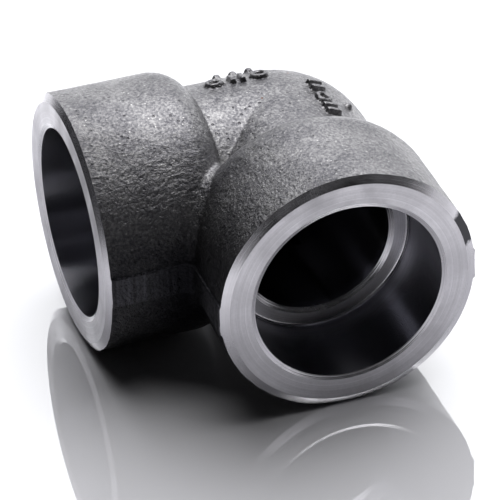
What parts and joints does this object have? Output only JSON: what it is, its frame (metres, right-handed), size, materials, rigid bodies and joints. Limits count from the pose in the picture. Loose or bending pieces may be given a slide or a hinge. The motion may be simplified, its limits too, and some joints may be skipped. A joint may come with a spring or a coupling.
{
  "type": "socket weld elbow",
  "caption": "Forged steel pipe elbow that turns a pipe run through a right angle, with a bored socket in a thick collar at each end.",
  "frame": {"origin": "point where the axes of the two sockets cross, from which a fitting's centre-to-end sizes are measured", "axes": "-Y out of one socket, -X out of the other, +Z square to the parting plane of the forging, upwards as it lies on its two collars"},
  "size_m": [0.0621, 0.0621, 0.0464],
  "materials": {
    "forged_steel": "as-forged carbon steel, dark scale-grey granular skin with bright turned faces and bores"
  },
  "bodies": {
    "root": {"elbow_body": "forged_steel"}
  },
  "joints": []
}
